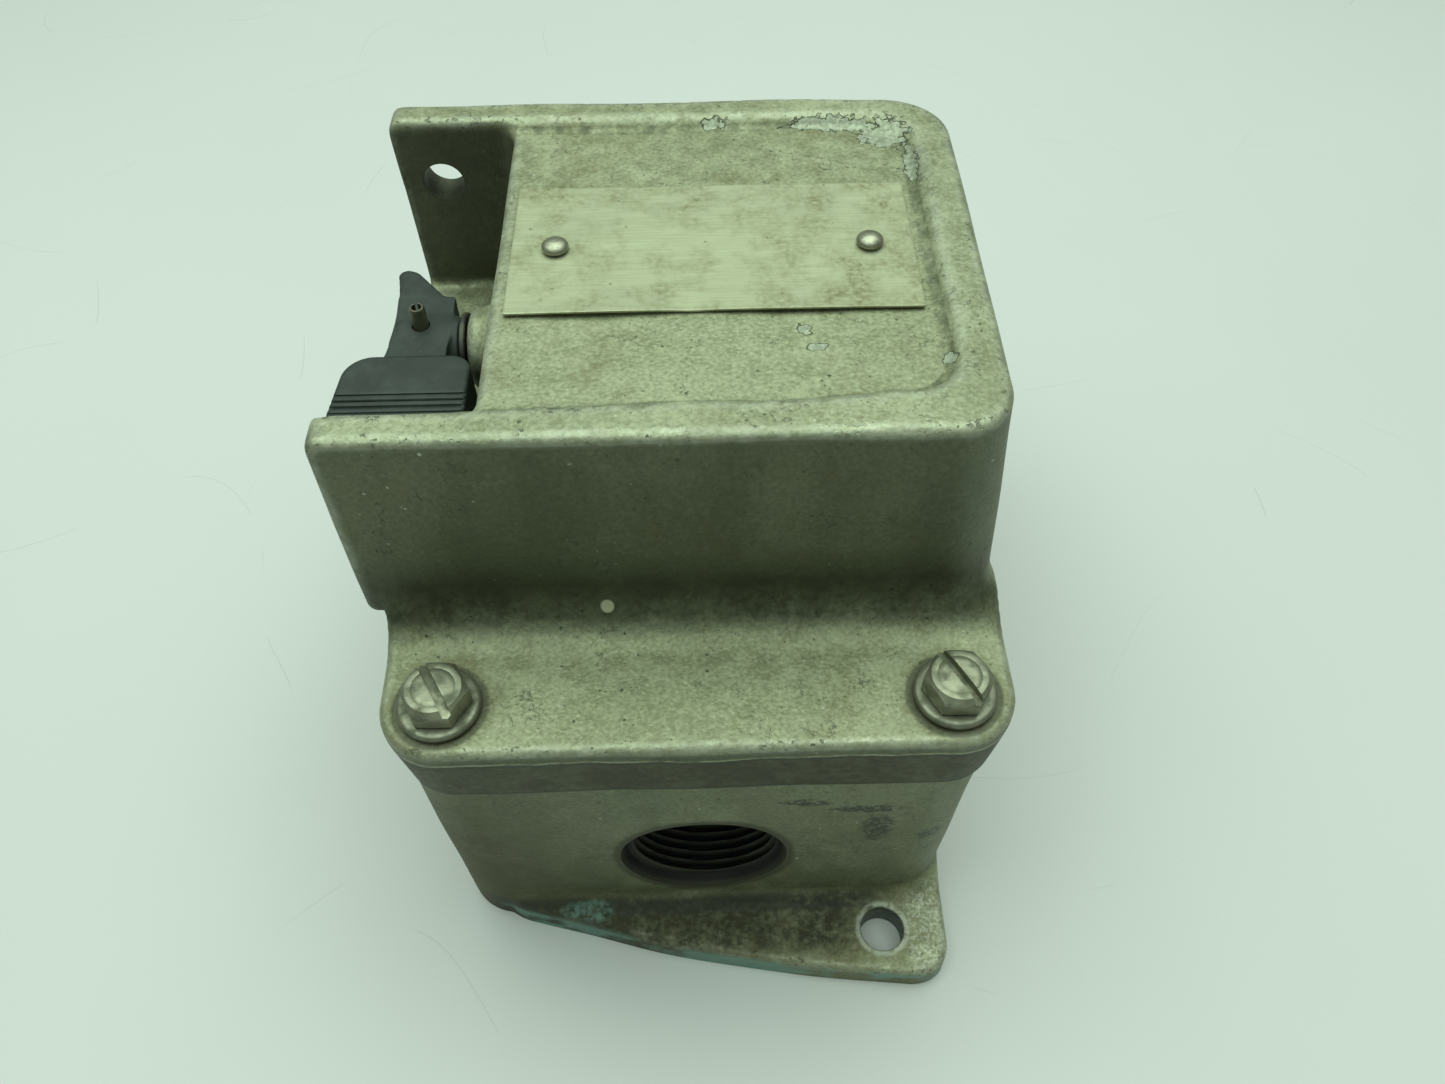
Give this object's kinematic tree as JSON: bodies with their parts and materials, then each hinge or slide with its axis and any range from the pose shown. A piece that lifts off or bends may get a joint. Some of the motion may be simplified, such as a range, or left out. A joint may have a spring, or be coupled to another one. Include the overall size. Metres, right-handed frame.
{
  "type": "enclosed manual motor switch",
  "caption": "Cast aluminium enclosed manual motor switch with a guarded side lever, tapped conduit entry, bolted cover and diagonal mounting ears.",
  "frame": {"origin": "centre of the enclosure's flat back, which is the mounting plane", "axes": "+Z out of the mounting surface through the cover; +X across, with the operating lever on the -X side; -Y is the end wall with the open conduit entry"},
  "size_m": [0.1263, 0.196, 0.1336],
  "materials": {
    "cast_aluminium": "aluminium paint over sand casting, scuffed and stained",
    "screw_steel": "plated steel, worn",
    "washer_steel": "plated steel, dull",
    "nameplate_metal": "thin brushed plate, stained",
    "rivet_steel": "domed rivet, dull plating",
    "lever_plastic": "moulded, dark grey-green",
    "spring_steel": "coiled or rolled spring steel",
    "shaft_steel": "turned steel",
    "dark_steel": "blackened steel",
    "zinc_steel": "zinc plated",
    "zinc_plug": "cast plug",
    "bronze": "sintered bronze",
    "brass": "machined brass",
    "copper": "copper alloy strip",
    "phenolic": "moulded phenolic"
  },
  "bodies": {
    "housing": {"enclosure_base": "cast_aluminium", "enclosure_cover": "cast_aluminium", "conduit_plug": "zinc_plug", "cover_screw_near_left": "screw_steel", "cover_screw_near_right": "screw_steel", "cover_screw_far_right": "screw_steel", "cover_screw_far_left": "screw_steel", "cover_washer_near_left": "washer_steel", "cover_washer_near_right": "washer_steel", "cover_washer_far_right": "washer_steel", "cover_washer_far_left": "washer_steel", "nameplate": "nameplate_metal", "nameplate_rivet_left": "rivet_steel", "nameplate_rivet_right": "rivet_steel", "shaft_bushing": "bronze", "switch_base": "phenolic", "switch_cover": "phenolic", "rocker_pivot_pin": "shaft_steel", "mounting_strap": "zinc_steel", "mounting_screw_near": "zinc_steel", "mounting_screw_far": "zinc_steel", "ground_screw": "brass", "terminal_strip_line_1": "copper", "terminal_strip_line_2": "copper", "terminal_strip_line_3": "copper", "terminal_strip_load_1": "copper", "terminal_strip_load_2": "copper", "terminal_strip_load_3": "copper", "terminal_screw_line_1": "brass", "terminal_screw_line_2": "brass", "terminal_screw_line_3": "brass", "terminal_screw_load_1": "brass", "terminal_screw_load_2": "brass", "terminal_screw_load_3": "brass"},
    "operator": {"operating_lever": "lever_plastic", "lever_roll_pin": "spring_steel", "operating_shaft": "shaft_steel", "shaft_washer": "dark_steel", "shaft_retaining_ring": "dark_steel", "crank_arm": "zinc_steel", "crank_pin": "shaft_steel"},
    "rocker": {"rocker": "phenolic"},
    "carrier": {"contact_carrier": "phenolic", "moving_contact_1": "copper", "moving_contact_2": "copper", "moving_contact_3": "copper", "contact_spring_1": "spring_steel", "contact_spring_2": "spring_steel", "contact_spring_3": "spring_steel"}
  },
  "joints": [
    {"name": "lever_swing", "type": "hinge", "parent": "housing", "child": "operator", "pos_m": [-0.0537, -0.0015, 0.109], "axis": [-1, 0, 0], "range_deg": [0, 165]},
    {"name": "rocker_swing", "type": "hinge", "parent": "housing", "child": "rocker", "pos_m": [0, -0.0015, 0.0884], "axis": [1, 0, 0], "range_deg": [0, 44.05]},
    {"name": "carrier_slide", "type": "slide", "parent": "housing", "child": "carrier", "axis": [0, 1, 0], "range_m": [0, 0.00901]}
  ],
  "couplings": [
    {"joint": "rocker_swing", "follows": "lever_swing", "ratio": 0.26667},
    {"joint": "carrier_slide", "follows": "lever_swing", "m_per_rad": 0.0031219}
  ]
}
